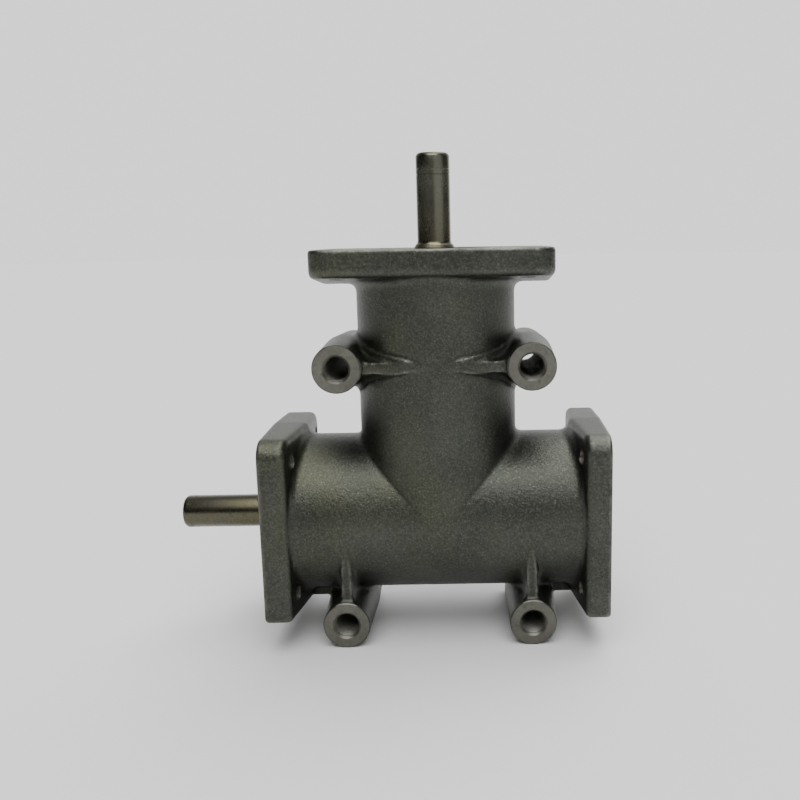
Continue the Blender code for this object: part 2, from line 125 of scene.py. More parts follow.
def block(lo, hi):
    verts = [(x, y, z) for x in (lo[0], hi[0]) for y in (lo[1], hi[1]) for z in (lo[2], hi[2])]
    faces = [(0, 1, 3, 2), (4, 6, 7, 5), (0, 4, 5, 1), (2, 3, 7, 6), (0, 2, 6, 4), (1, 5, 7, 3)]
    return verts, faces


def carve(target, cutters):
    """Takes the cutters out of the target and leaves a plain mesh."""
    for cutter in cutters:
        cut = target.modifiers.new("cut", "BOOLEAN")
        cut.operation = "DIFFERENCE"
        cut.solver = "MANIFOLD"
        cut.object = cutter
    graph = bpy.context.evaluated_depsgraph_get()
    graph.update()
    mesh = bpy.data.meshes.new_from_object(target.evaluated_get(graph))
    old = target.data
    target.modifiers.clear()
    target.data = mesh
    mesh.name = target.name
    bpy.data.meshes.remove(old)
    for cutter in cutters:
        data = cutter.data
        bpy.data.objects.remove(cutter)
        bpy.data.meshes.remove(data)
    return target


def smooth(made, degrees=32):
    made.data.shade_smooth()
    made.data.set_sharp_from_angle(angle=math.radians(degrees))
    return made


# ---------------------------------------------------------------- the casting
def smin(a, b, k):
    h = np.maximum(k - np.abs(a - b), 0.0) / k
    return np.minimum(a, b) - h * h * (k * 0.25)


def smax(a, b, k):
    return -smin(-a, -b, k)


def rounded_rectangle(u, v, half_u, half_v, r, low_r=None):
    """low_r is the radius of the two corners at negative v."""
    if low_r is not None:
        r = np.where(v > 0, r, low_r)
    qu, qv = np.abs(u) - (half_u - r), np.abs(v) - (half_v - r)
    return np.sqrt(np.maximum(qu, 0) ** 2 + np.maximum(qv, 0) ** 2) + np.minimum(np.maximum(qu, qv), 0) - r


PAD_UP = ((4.0, 68.3), (6.4, 69.0), (12.3, 70.5), (18.2, 71.6), (22.3, 72.4), (26.4, 73.6), (29.5, 75.4), (31.8, 77.3), (34.5, 80.5))
PAD_LOW = ((4.0, 65.6), (6.3, 65.2), (14.1, 63.6), (22.1, 61.5), (28.4, 58.8), (31.6, 55.9), (34.5, 52.0))
CREST = ((-36.0, 27.1), (-30.5, 28.0), (-20.0, 30.1), (-14.0, 31.45), (-9.0, 32.5), (-5.0, 33.15), (0.0, 33.3))


def between(at, points):
    return np.interp(at, *zip(*points))


def casting(x, y, z):
    """Signed distance, near enough, to the casting before it is machined. The front
    and the back are alike but for the side flanges' draft: it was cast in two halves
    that parted at y = 0."""
    u, w = np.abs(y), np.abs(x)
    yy, xx = y * y, x * x
    tube = np.maximum(np.sqrt(yy + z * z) - 33.5, w - 72.8)
    riser = np.maximum(np.maximum(np.sqrt(xx + yy) - 33.3, -z), z - 114.3)
    body = smin(tube, riser, 0.35 + 3.6 * np.clip((w - 14.0) / 19.0, 0.0, 1.0) ** 1.5)

    # Raised roots that carry the upper ribs round the vertical tube.
    root = np.sqrt(xx + yy) - (33.25 + 1.15 * np.clip((w - 4.5) / 7.0, 0.0, 1.0) * np.clip((34.0 - w) / 6.0, 0.0, 1.0))
    root = smax(root, (z - between(w, PAD_UP)) * 0.95, 1.2)
    root = smax(root, (between(w, PAD_LOW) - z) * 0.95, 1.2)
    root = np.maximum(root, 4.0 - w)
    body = smin(body, root, 0.6)

    # Bosses, drafted from the parting plane.
    r = 10.9 - 1.15 * np.minimum(u, 31.0) / 30.0
    upper = np.sqrt((w - BOSS_X) ** 2 + (z - BOSS_TOP) ** 2) - r
    upper = np.maximum(upper, u - 31.2)
    lift = 1.15 * (1.0 - np.minimum(u, 31.0) / 30.0)
    lower = np.sqrt((w - BOSS_X) ** 2 + (z - BOSS_BOTTOM - lift) ** 2) - r
    lower = np.maximum(lower, u - 31.2)
    body = smin(body, upper, 5.0)
    body = smin(body, lower, 3.0)

    # Ribs: a crisp front face and drafted sides. Each fades out where its front meets
    # the tube, so its fillet shrinks with what still stands proud.
    draft = 1.0 - np.clip(u / 33.0, 0.0, 1.0)
    crest = 33.2 - 0.224 * (w - 5.0)
    proud = crest - np.sqrt(np.maximum(33.3 ** 2 - w * w, 0.0))
    side = np.abs(z - BOSS_TOP) - (1.95 + 2.2 * draft)
    rib = smax((u - crest) * 0.976, side, 0.95)
    rib = np.maximum(smax(rib, 5.2 - w, 0.8), w - 33.0)
    body = smin(body, rib, np.clip(proud - 0.1, 0.12, 3.6))
    crest = between(z, CREST)
    proud = crest - np.sqrt(np.maximum(33.5 ** 2 - z * z, 0.0))
    at = 38.1 + 0.025 * np.clip(-z - 7.0, 0.0, 30.0)
    side = np.abs(w - at) - (0.9 + 1.05 * np.clip((-z - 4.0) / 14.0, 0.0, 1.0) + 1.9 * draft)
    upright = smax((u - crest) * 0.983, side, 0.95)
    upright = np.maximum(np.maximum(upright, z + 4.5), -36.5 - z)
    body = smin(body, upright, np.clip(proud * 1.2 - 0.1, 0.12, 3.4))

    # Webs under the tube, in the parting plane.
    web = smax(u - 4.6 - 0.3 * np.clip(z + 38.0, 0.0, 12.0), -38.4 - z, 1.2)
    web = np.maximum(np.maximum(web, z + 26.0), np.maximum(40.0 - w, w - 60.0))
    body = smin(body, web, 1.3)

    # Flanges: drafted sides and inner faces, large corners, rounded inner edges, and a
    # skin just proud of the machined face so that its edge is broken.
    spread = 1.2 * (1.0 - np.minimum(u, 36.0) / 36.0)
    outline = rounded_rectangle(y, z, 36.0, 38.0 + spread, 8.0, 2.5)
    edge = np.where(y < 0, 4.1, 2.6)
    inner = (56.2 + edge * u / 36.0 - w) * 0.9936
    outer = np.where(x < 0, -x - 71.72, x - 70.72)
    flange = smax(smax(outline, inner, 3.2), outer, 1.7)
    body = smin(body, flange, np.clip(-outline - 0.4, 0.25, 4.2))
    outline = rounded_rectangle(y, x, 36.0, 48.0 + spread, 8.0)
    inner = (98.6 + 3.8 * u / 36.0 - z) * 0.9945
    cap = smax(smax(outline, inner, 3.2), z - 113.22, 1.7)
    return smin(body, cap, np.clip(-outline - 0.4, 0.25, 4.2))


def surface(field, origin, h):
    """Surface nets: one vertex in each cell that the surface crosses, one quad round
    each grid edge that it crosses."""
    inside = field < 0
    count = np.zeros(tuple(n - 1 for n in field.shape), np.int8)
    corners = [(i, j, k) for i in (0, 1) for j in (0, 1) for k in (0, 1)]
    nx, ny, nz = count.shape
    for i, j, k in corners:
        count += inside[i:i + nx, j:j + ny, k:k + nz]
    active = (count > 0) & (count < 8)
    index = np.full(active.shape, -1, np.int64)
    cells = np.argwhere(active)
    index[active] = np.arange(len(cells))
    total = np.zeros((len(cells), 3))
    hits = np.zeros(len(cells))
    for a in corners:
        for axis in range(3):
            if a[axis]:
                continue
            b = list(a)
            b[axis] = 1
            fa = field[cells[:, 0] + a[0], cells[:, 1] + a[1], cells[:, 2] + a[2]]
            fb = field[cells[:, 0] + b[0], cells[:, 1] + b[1], cells[:, 2] + b[2]]
            crossing = (fa < 0) != (fb < 0)
            t = np.where(crossing, fa / np.where(crossing, fa - fb, 1.0), 0.0)
            point = np.tile(np.array(a, float), (len(cells), 1))
            point[:, axis] = t
            total[crossing] += point[crossing]
            hits += crossing
    verts = np.array(origin) + (cells + total / hits[:, None]) * h
    quads = []
    for axis in range(3):
        p, q = (axis + 1) % 3, (axis + 2) % 3
        a = [slice(1, -1)] * 3
        b = [slice(1, -1)] * 3
        a[axis], b[axis] = slice(0, -1), slice(1, None)
        first, second = inside[tuple(a)], inside[tuple(b)]
        at = np.argwhere(first != second)
        solid = first[at[:, 0], at[:, 1], at[:, 2]]
        base = at + 1
        base[:, axis] -= 1
        ring = []
        for dp, dq in ((-1, -1), (0, -1), (0, 0), (-1, 0)):
            cell = base.copy()
            cell[:, p] += dp
            cell[:, q] += dq
            ring.append(index[cell[:, 0], cell[:, 1], cell[:, 2]])
        ring = np.stack(ring, 1)
        ring[~solid] = ring[~solid][:, ::-1]
        quads.append(ring)
    return verts, np.concatenate(quads)


def gradient(points, eps=0.04):
    out = np.empty_like(points)
    for axis in range(3):
        step = np.zeros(3)
        step[axis] = eps
        out[:, axis] = (casting(*(points + step).T) - casting(*(points - step).T)) / (2 * eps)
    return out


def onto_surface(points, rounds):
    for _ in range(rounds):
        g = gradient(points)
        points = points - g * (casting(*points.T) / np.maximum((g * g).sum(1), 1e-6))[:, None]
    return points


def cast_mesh(h):
    xs = np.arange(-75.0, 75.0 + h, h)
    half = np.arange(0.5 * h, 38.0 + h, h)
    ys = np.concatenate([-half[::-1], half])
    zs = np.arange(-55.0, 117.0 + h, h)
    field = casting(xs[:, None, None], ys[None, :, None], zs[None, None, :])
    verts, quads = surface(field, (xs[0], ys[0], zs[0]), h)
    verts = onto_surface(verts, 1)
    edges = np.concatenate([quads[:, (0, 1)], quads[:, (1, 2)], quads[:, (2, 3)], quads[:, (3, 0)]])
    n = len(verts)
    degree = np.bincount(edges[:, 0], minlength=n) + np.bincount(edges[:, 1], minlength=n)
    for _ in range(3):
        mean = np.empty_like(verts)
        for axis in range(3):
            mean[:, axis] = (
                np.bincount(edges[:, 0], verts[edges[:, 1], axis], n)
                + np.bincount(edges[:, 1], verts[edges[:, 0], axis], n)
            ) / degree
        verts = onto_surface(0.5 * verts + 0.5 * mean, 1)
    return onto_surface(verts, 1), quads


# ---------------------------------------------------------------- machining cutters
H_GROOVES = (-62.2, -45.85, 60.15)
V_GROOVES = (43.9, 99.15)
GROOVE_W, GROOVE_R, BORE_R = 1.95, 24.75, 23.5


def with_grooves(points, grooves, radius=BORE_R):
    for at in grooves:
        points += [(at, radius), (at, GROOVE_R), (at + GROOVE_W, GROOVE_R), (at + GROOVE_W, radius)]
    return points


def cutters():
    far = 90.0
    faces = outward(object_from("cut_faces", *merged([
        block((-LEFT_FACE - 8, -far, -far), (-LEFT_FACE, far, 95.0)),
        block((RIGHT_FACE, -far, -far), (RIGHT_FACE + 8, far, 95.0)),
        block((-far, -far, TOP_FACE), (far, far, TOP_FACE + 8)),
    ])))
    profile = [(-LEFT_FACE - 2, 0.01), (-LEFT_FACE - 2, BORE_R + 2.8), (-LEFT_FACE, BORE_R + 0.8), (-LEFT_FACE + 0.8, BORE_R)]
    profile = with_grooves(profile, H_GROOVES)
    profile += [(RIGHT_FACE - 0.8, BORE_R), (RIGHT_FACE, BORE_R + 0.8), (RIGHT_FACE + 2, BORE_R + 2.8), (RIGHT_FACE + 2, 0.01)]
    across = outward(object_from("cut_across", *revolve(profile, "X", 120)))
    profile = with_grooves([(-2.0, 0.01), (-2.0, 22.8), (42.0, 22.8), (42.7, BORE_R)], V_GROOVES)
    profile += [(TOP_FACE - 0.8, BORE_R), (TOP_FACE, BORE_R + 0.8), (TOP_FACE + 2, BORE_R + 2.8), (TOP_FACE + 2, 0.01)]
    upright = outward(object_from("cut_upright", *revolve(profile, "Z", 120)))
    f = BOSS_FACE
    walls = []
    for i in range(38):
        at = -f + 1.2 + 1.5 * i
        walls += [(at, 4.95), (at + 0.2, 4.95), (at + 0.75, 5.5), (at + 0.95, 5.5)]
    walls += [(f - 1.0, 4.95)]
    drill = [(-f - 4, 0.01), (-f - 4, 12.5), (-f + 0.45, 12.5), (-f + 0.45, 9.85), (-f, 9.4), (-f, 5.85), (-f + 0.95, 4.95)] + walls
    drill += [(f, 5.85), (f, 9.4), (f - 0.45, 9.85), (f - 0.45, 12.5), (f + 4, 12.5), (f + 4, 0.01)]
    bosses = outward(object_from("cut_bosses", *merged([
        revolve(drill, "Y", 56, (x, 0, z)) for x in (-BOSS_X, BOSS_X) for z in (BOSS_TOP, BOSS_BOTTOM)
    ])))
    holes = []
    for u in (-26.5, 26.5):
        for v in (-28.5, 28.5):
            for s, face in ((-1, LEFT_FACE), (1, RIGHT_FACE)):
                line = [(50.0, 0.01), (50.0, 3.3), (face - 0.5, 3.3), (face + 3.0, 6.8), (face + 3.0, 0.01)]
                holes.append(revolve([(s * a, r) for a, r in line], "X", 32, (0, u, v)))
        for v in (-37.5, 37.5):
            line = [(92.0, 0.01), (92.0, 3.3), (TOP_FACE - 0.5, 3.3), (TOP_FACE + 3.0, 6.8), (TOP_FACE + 3.0, 0.01)]
            holes.append(revolve(line, "Z", 32, (v, u, 0)))
    holes = outward(object_from("cut_holes", *merged(holes)))
    return [faces, across, upright, bosses, holes]


GRID = 0.86
verts, quads = cast_mesh(GRID)
housing = carve(outward(object_from("housing_casting", verts, quads)), cutters())


def mark_machined(made):
    """Gives cut faces the second material, and stores how convex the cast skin is."""
    mesh = made.data
    n = len(mesh.polygons)
    centres = np.empty(n * 3, np.float32)
    mesh.polygons.foreach_get("center", centres)
    centres = centres.reshape(-1, 3).astype(float) / MM - (CX, 0, CZ)
    depth = casting(*centres.T)
    mesh.polygons.foreach_set("material_index", (depth < -0.16).astype(np.int32))
    co = np.empty(len(mesh.vertices) * 3, np.float32)
    mesh.vertices.foreach_get("co", co)
    p = co.reshape(-1, 3).astype(float) / MM - (CX, 0, CZ)
    here = casting(*p.T)
    bend = np.zeros(len(p))
    for reach in (0.9, 1.8):
        total = -6 * here
        for axis in range(3):
            step = np.zeros(3)
            step[axis] = reach
            total += casting(*(p + step).T) + casting(*(p - step).T)
        bend += total / reach ** 2
    bend = np.clip(bend / 2, -1, 1).astype(np.float32)
    layer = mesh.attributes.new("bend", "FLOAT", "POINT")
    layer.data.foreach_set("value", bend)
    mesh.update()


smooth(housing, 34)
print("housing faces", len(housing.data.polygons), "tris", sum(len(p.vertices) - 2 for p in housing.data.polygons))


# ---------------------------------------------------------------- shafts, seals, cap
def turned(name, profile, axis, steps, closed=False, keyseat=None):
    made = outward(object_from(name, *revolve(profile, axis, steps, closed=closed)))
    if keyseat:
        carve(made, [outward(object_from("cut_key", *keyseat))])
    return smooth(made, 30)


def arc(centre, radius, start, stop, steps):
    return [
        (centre[0] + radius * math.cos(math.radians(start + (stop - start) * i / steps)),
         centre[1] + radius * math.sin(math.radians(start + (stop - start) * i / steps)))
        for i in range(steps + 1)
    ]


def ring_line(at, r, deep=0.14, wide=0.34):
    return [(at - wide / 2, r), (at - wide / 6, r - deep), (at + wide / 6, r - deep), (at + wide / 2, r)]


# The left end: centre hole, chamfer, plain 14 mm stub, collar against the seal.
L = -112.0
profile = [(L + 3.6, 0.01), (L + 1.9, 1.0), (L, 2.3), (L, 5.7), (L + 0.12, 5.98), (L + 0.45, 6.38), (L + 0.95, 6.76), (L + 1.6, 7.0)]
profile += [(-74.6, 7.0), (-73.8, 7.12), (-73.2, 7.4), (-72.8, 7.85), (-72.2, 8.15), (-71.7, 8.5),
            (-45.7, 8.5), (-45.7, 9.7), (-45.4, 10.0)]
profile += [(13.1, 10.0), (13.1, 9.2), (14.4, 9.2), (14.4, 10.0), (33.0, 10.0), (33.0, 9.2), (34.4, 9.2), (34.4, 10.0),
            (45.4, 10.0), (45.7, 9.7), (45.7, 8.5), (60.6, 8.5), (61.4, 7.7), (61.4, 2.3), (59.8, 1.0), (58.0, 0.01)]
horizontal = turned("horizontal_shaft_turned", profile, "X", 96,
                    keyseat=block((17.2, -3.0, 6.5), (31.3, 3.0, 11.0)))
T = 151.5
profile = [(14.6, 0.01), (13.4, 1.0), (12.1, 2.3), (12.1, 8.0), (12.6, 8.5), (13.35, 8.5), (13.35, 7.8), (14.55, 7.8),
           (14.55, 8.5), (60.3, 8.5), (60.3, 10.2), (60.6, 10.5), (84.4, 10.5), (84.7, 10.2), (84.7, 8.5),
           (113.2, 8.5), (113.7, 8.15), (114.3, 7.85), (114.7, 7.4), (115.3, 7.12), (116.1, 7.0)]
profile += ring_line(142.7, 7.0) + ring_line(144.9, 7.0, 0.1)
profile += [(T - 1.5, 7.0), (T - 0.9, 6.80), (T - 0.4, 6.45), (T - 0.1, 6.02), (T, 5.8), (T, 2.3), (T - 1.9, 1.0), (T - 3.6, 0.01)]
vertical = turned("vertical_shaft_turned", profile, "Z", 96,
                  keyseat=block((-9.5, -2.5, 18.2), (-5.5, 2.5, 31.3)))


def seal_profile(face):
    outside, back = face - 0.3, face - 7.3
    points = [(outside - 0.35, 23.3)] + arc((outside - 0.5, 22.8), 0.5, 90, 0, 4)
    points += [(outside, 20.9), (outside - 0.25, 20.5), (outside - 1.0, 19.9), (outside - 1.3, 19.4)]
    points += [(outside - 1.45, 16.5), (outside - 1.4, 12.6), (outside - 1.1, 11.8), (outside - 0.75, 11.3)]
    points += arc((outside - 1.2, 10.4), 0.5, 60, -20, 4)
    points += [(outside - 1.0, 9.2), (outside - 1.5, 8.85), (outside - 2.4, 8.8), (back, 9.0), (back, 22.7), (back + 0.7, 23.3)]
    return points


left_seal = turned("left_seal_ring", [(-a, r) for a, r in seal_profile(LEFT_FACE)], "X", 96, closed=True)
top_seal = turned("top_seal_ring", seal_profile(TOP_FACE), "Z", 96, closed=True)
R = RIGHT_FACE
profile = [(R - 6.8, 0.01), (R - 6.8, 22.2), (R - 6.2, 23.3), (R - 1.0, 23.3)]
profile += arc((R - 0.9, 22.8), 0.5, 90, 0, 4)
profile += [(R - 0.4, 21.0), (R - 0.65, 20.5), (R - 1.5, 19.9), (R - 1.8, 19.4), (R - 1.85, 12.0), (R - 1.7, 11.4),
            (R - 1.45, 11.1), (R - 1.4, 10.6), (R - 1.4, 0.01)]
end_cap = turned("end_cap_moulded", profile, "X", 96)


# ---------------------------------------------------------------- materials
class Tree:
    """A few words for making node trees."""

    def __init__(self, name):
        self.material = bpy.data.materials.new(name)
        self.material.use_nodes = True
        self.tree = self.material.node_tree
        self.bsdf = self.tree.nodes["Principled BSDF"]
        self.coords = self.add("ShaderNodeTexCoord").outputs["Object"]

    def add(self, kind, inputs=(), **settings):
        node = self.tree.nodes.new(kind)
        for key, value in settings.items():
            setattr(node, key, value)
        for key, value in dict(inputs).items():
            if isinstance(value, bpy.types.NodeSocket):
                self.tree.links.new(value, node.inputs[key])
            else:
                node.inputs[key].default_value = value
        return node

    def noise(self, scale, detail=2.0, rough=0.5, vector=None, distortion=0.0):
        return self.add("ShaderNodeTexNoise", {
            "Vector": vector or self.coords, "Scale": scale, "Detail": detail,
            "Roughness": rough, "Distortion": distortion,
        }).outputs["Fac"]

    def cells(self, scale, vector=None, feature="F1"):
        node = self.add("ShaderNodeTexVoronoi", {"Vector": vector or self.coords, "Scale": scale}, feature=feature)
        return node

    def math(self, operation, a, b=0.0, c=0.0, clamp=False):
        node = self.add("ShaderNodeMath", {0: a, 1: b, 2: c}, operation=operation)
        node.use_clamp = clamp
        return node.outputs[0]

    def span(self, value, low, high, to_low=0.0, to_high=1.0):
        return self.add("ShaderNodeMapRange", {
            "Value": value, "From Min": low, "From Max": high, "To Min": to_low, "To Max": to_high,
        }).outputs[0]

    def mix(self, share, a, b):
        node = self.tree.nodes.new("ShaderNodeMix")
        node.data_type = "RGBA"
        ends = [s for s in node.inputs if s.type == "RGBA"]
        for socket, value in ((node.inputs[0], share), (ends[0], a), (ends[1], b)):
            if isinstance(value, bpy.types.NodeSocket):
                self.tree.links.new(value, socket)
            elif isinstance(value, tuple):
                socket.default_value = (*value, 1.0)
            else:
                socket.default_value = value
        return [s for s in node.outputs if s.type == "RGBA"][0]

    def shifted(self, scale, offset=(0.0, 0.0, 0.0)):
        return self.add("ShaderNodeMapping", {"Vector": self.coords, "Location": offset, "Scale": scale}).outputs[0]

    def centred(self):
        """Millimetres from the crossing, as x, y and z."""
        node = self.add("ShaderNodeMapping", {
            "Vector": self.coords, "Location": (-CX, 0.0, -CZ), "Scale": (1000.0, 1000.0, 1000.0),
        })
        parts = self.add("ShaderNodeSeparateXYZ", {0: node.outputs[0]})
        return node.outputs[0], parts.outputs[0], parts.outputs[1], parts.outputs[2]

    def bump(self, height, strength, distance, after=None):
        inputs = {"Height": height, "Strength": strength, "Distance": distance}
        if after is not None:
            inputs["Normal"] = after
        return self.add("ShaderNodeBump", inputs).outputs["Normal"]

    def finish(self, colour=None, roughness=None, normal=None, **fixed):
        for key, value in (("Base Color", colour), ("Roughness", roughness), ("Normal", normal)):
            if isinstance(value, bpy.types.NodeSocket):
                self.tree.links.new(value, self.bsdf.inputs[key])
            elif value is not None:
                self.bsdf.inputs[key].default_value = (*value, 1.0) if isinstance(value, tuple) else value
        for key, value in fixed.items():
            self.bsdf.inputs[key.replace("_", " ")].default_value = value
        return self.material


def cast_aluminium():
    t = Tree("cast_aluminium")
    grain = t.noise(1180.0, 3.0, 0.64)
    fine = t.noise(1700.0, 2.0, 0.6)
    speck = t.add("ShaderNodeSeparateColor", {0: t.cells(2300.0).outputs["Color"]}).outputs[0]
    pores = t.noise(460.0, 3.0, 0.65)
    cloud = t.noise(38.0, 4.0, 0.6)
    patch = t.noise(19.0, 4.0, 0.6, t.shifted((1, 1, 1), (0.31, 0.17, 0.05)))
    base = t.mix(t.span(cloud, 0.32, 0.7), (0.041, 0.0442, 0.0374), (0.063, 0.067, 0.0565))
    base = t.mix(t.span(patch, 0.50, 0.72, 0.0, 0.6), base, (0.069, 0.070, 0.041))
    base = t.mix(t.span(grain, 0.45, 0.72, 0.0, 0.44), base, (0.134, 0.137, 0.113))
    base = t.mix(t.span(grain, 0.46, 0.28, 0.0, 0.42), base, (0.032, 0.034, 0.029))
    base = t.mix(t.span(speck, 0.92, 1.0, 0.0, 0.17), base, (0.30, 0.30, 0.265))
    base = t.mix(t.span(pores, 0.62, 0.76, 0.0, 0.5), base, (0.030, 0.032, 0.028))
    bend = t.add("ShaderNodeAttribute", attribute_name="bend").outputs["Fac"]
    worn = t.math("MULTIPLY", t.span(bend, 0.25, 0.7), t.span(t.noise(160.0, 3.0, 0.6), 0.35, 0.6))
    base = t.mix(t.math("MULTIPLY", worn, 0.5), base, (0.20, 0.202, 0.175))
    # Painted shade: the cast skin is darkened where it is concave, in creases and fillets.
    base = t.mix(t.span(bend, -0.08, -0.5, 0.0, 0.35), base, (0.026, 0.028, 0.024))
    rough = t.math("ADD", t.span(grain, 0.3, 0.75, 0.36, 0.49), t.span(speck, 0.9, 1.0, 0.0, -0.06))
    rough = t.math("SUBTRACT", rough, t.math("MULTIPLY", worn, 0.08))
    normal = t.bump(cloud, 0.3, 0.0006)
    normal = t.bump(pores, 0.5, 0.00022, normal)
    normal = t.bump(grain, 1.0, 0.00018, normal)
    normal = t.bump(fine, 0.6, 0.00008, normal)
    return t.finish(base, rough, normal, Metallic=0.95)


def machined_aluminium():
    t = Tree("machined_aluminium")
    _, x, y, z = t.centred()
    # Facing marks: rings about each boss, wide arcs on the flanges.
    up = t.math("GREATER_THAN", z, 12.0)
    row = t.math("MULTIPLY_ADD", up, BOSS_TOP - BOSS_BOTTOM, BOSS_BOTTOM)
    dx = t.math("SUBTRACT", t.math("ABSOLUTE", x), BOSS_X)
    dz = t.math("SUBTRACT", z, row)
    about = t.math("SQRT", t.math("ADD", t.math("MULTIPLY", dx, dx), t.math("MULTIPLY", dz, dz)))
    rings = t.math("SINE", t.math("MULTIPLY", about, 15.0))
    ends = t.math("MULTIPLY", t.math("LESS_THAN", about, 12.4), t.math("GREATER_THAN", t.math("ABSOLUTE", y), 29.0))
    # The flange faces lie square to x or z; the arcs' centre is well off each face.
    yy = t.math("ADD", y, 71.0)
    other = t.math("ADD", t.math("MULTIPLY", t.math("LESS_THAN", t.math("ABSOLUTE", x), 69.0), x),
                   t.math("MULTIPLY", t.math("GREATER_THAN", t.math("ABSOLUTE", x), 69.0), z))
    far = t.math("SQRT", t.math("ADD", t.math("MULTIPLY", yy, yy), t.math("MULTIPLY", other, other)))
    arcs = t.math("SINE", t.math("MULTIPLY", far, 9.0))
    lines = t.math("ADD", t.math("MULTIPLY", ends, rings), t.math("MULTIPLY", t.math("SUBTRACT", 1.0, ends), arcs))
    fine = t.noise(720.0, 3.0, 0.65)
    cloud = t.noise(70.0, 4.0, 0.6)
    base = t.mix(t.span(cloud, 0.3, 0.7), (0.110, 0.109, 0.092), (0.170, 0.168, 0.142))
    base = t.mix(t.span(fine, 0.42, 0.70, 0.0, 0.5), base, (0.085, 0.084, 0.072))
    base = t.mix(t.span(t.noise(210.0, 3.0, 0.7), 0.60, 0.70, 0.0, 0.5), base, (0.065, 0.064, 0.055))
    deep = t.math("LESS_THAN", about, 5.9)
    deep = t.math("MULTIPLY", deep, t.math("LESS_THAN", t.math("ABSOLUTE", y), 28.9))
    base = t.mix(t.math("MULTIPLY", deep, 0.9), base, (0.190, 0.186, 0.162))
    rough = t.math("ADD", t.span(cloud, 0.3, 0.7, 0.38, 0.50), t.math("MULTIPLY", deep, 0.1))
    normal = t.bump(lines, 0.30, 0.00006)
    normal = t.bump(fine, 0.7, 0.00012, normal)
    return t.finish(base, rough, normal, Metallic=0.9)


def turned_steel(name, axis, clean, stain, stained, mark_from, mark_to, spotted):
    """Ground steel with fine lines round the axis. The stain lies in patches."""
    t = Tree(name)
    _, x, y, z = t.centred()
    stretch = {"X": (5200.0, 130.0, 130.0), "Z": (130.0, 130.0, 5200.0)}[axis]
    lines = t.noise(1.0, 3.0, 0.6, t.shifted(stretch))
    wide = t.noise(1.0, 3.0, 0.65, t.shifted({"X": (95.0, 260.0, 260.0), "Z": (260.0, 260.0, 95.0)}[axis]))
    specks = t.noise(950.0, 3.0, 0.65)
    spot = t.noise(210.0, 4.0, 0.7, t.shifted((1, 1, 1), (0.4, 0.1, 0.7)))
    along = {"X": x, "Z": z}[axis]
    more = t.span(along, mark_from, mark_to, 0.0, 1.0)
    share = t.math("MULTIPLY", t.span(wide, 0.34, 0.62), t.math("MULTIPLY_ADD", more, 0.6, stained))
    base = t.mix(share, clean, stain)
    base = t.mix(t.span(lines, 0.35, 0.7, 0.0, 0.28), base, tuple(0.45 * c for c in clean))
    base = t.mix(t.span(spot, 0.57, 0.68, 0.0, spotted), base, (0.028, 0.024, 0.015))
    base = t.mix(t.span(specks, 0.6, 0.75, 0.0, 0.18), base, (0.22, 0.21, 0.155))
    rough = t.math("ADD", t.span(wide, 0.3, 0.7, 0.22, 0.31), t.span(spot, 0.55, 0.7, 0.0, 0.22 * spotted))
    normal = t.bump(lines, 0.3, 0.00003)
    normal = t.bump(specks, 0.25, 0.00004, normal)
    return t.finish(base, rough, normal, Metallic=1.0)


def collar_stain_and_end_shade():
    """Discoloured ring at the foot of each stub, yellowed by oil. Also laid on each stub's end as painted shade, which
    dulls the highlight on its rim.
    """
    t = Tree("collar_stain_and_end_shade")
    wide = t.noise(240.0, 3.0, 0.6)
    specks = t.noise(1300.0, 3.0, 0.6)
    base = t.mix(t.span(wide, 0.35, 0.65), (0.060, 0.058, 0.042), (0.095, 0.088, 0.052))
    base = t.mix(t.span(specks, 0.5, 0.75, 0.0, 0.5), base, (0.045, 0.038, 0.02))
    normal = t.bump(specks, 0.4, 0.00006)
    return t.finish(base, t.span(wide, 0.3, 0.7, 0.28, 0.45), normal, Metallic=1.0)


def rubber(name, tone):
    t = Tree(name)
    cloud = t.noise(90.0, 4.0, 0.6)
    fine = t.noise(1500.0, 3.0, 0.6)
    dust = t.noise(300.0, 4.0, 0.7)
    base = t.mix(t.span(cloud, 0.3, 0.7), tuple(0.7 * c for c in tone), tuple(1.5 * c for c in tone))
    base = t.mix(t.span(dust, 0.55, 0.75, 0.0, 0.3), base, (0.11, 0.105, 0.09))
    normal = t.bump(fine, 0.35, 0.00005)
    normal = t.bump(cloud, 0.25, 0.0003, normal)
    return t.finish(base, t.span(dust, 0.3, 0.7, 0.45, 0.65), normal, Metallic=0.0)


def plain_metal(name, dark, light, rough, scale=600.0, lines=None):
    t = Tree(name)
    cloud = t.noise(110.0, 4.0, 0.6)
    fine = t.noise(scale, 3.0, 0.6)
    base = t.mix(t.span(cloud, 0.3, 0.7), dark, light)
    base = t.mix(t.span(fine, 0.5, 0.8, 0.0, 0.35), base, tuple(0.5 * c for c in dark))
    normal = t.bump(fine, 0.25, 0.00004)
    if lines:
        normal = t.bump(t.noise(1.0, 2.0, 0.5, t.shifted(lines)), 0.2, 0.00003, normal)
    return t.finish(base, t.span(cloud, 0.3, 0.7, rough - 0.05, rough + 0.07), normal, Metallic=1.0)


cast = cast_aluminium()
machined = machined_aluminium()
housing.data.materials.clear()
housing.data.materials.append(cast)
housing.data.materials.append(machined)
mark_machined(housing)

steel_h = turned_steel("horizontal_shaft_steel", "X", (0.092, 0.091, 0.072), (0.098, 0.088, 0.045), 0.40, -108.0, -76.0, 0.75)
steel_v = turned_steel("vertical_shaft_steel", "Z", (0.180, 0.180, 0.144), (0.150, 0.137, 0.066), 0.10, 138.0, 116.0, 0.12)
collar = collar_stain_and_end_shade()


def two_tone(made, main, second, axis, low_mm, high_mm, shaded_end_mm):
    """Faces whose middle lies between two stations along the axis take the second, and
    so does the stub's end, where the second is painted shade that dulls the rim's highlight."""
    mesh = made.data
    mesh.materials.clear()
    mesh.materials.append(main)
    mesh.materials.append(second)
    for face in mesh.polygons:
        at = face.center.x / MM - CX if axis == "X" else face.center.z / MM - CZ
        face.material_index = 1 if low_mm < at < high_mm or abs(at) > shaded_end_mm else 0
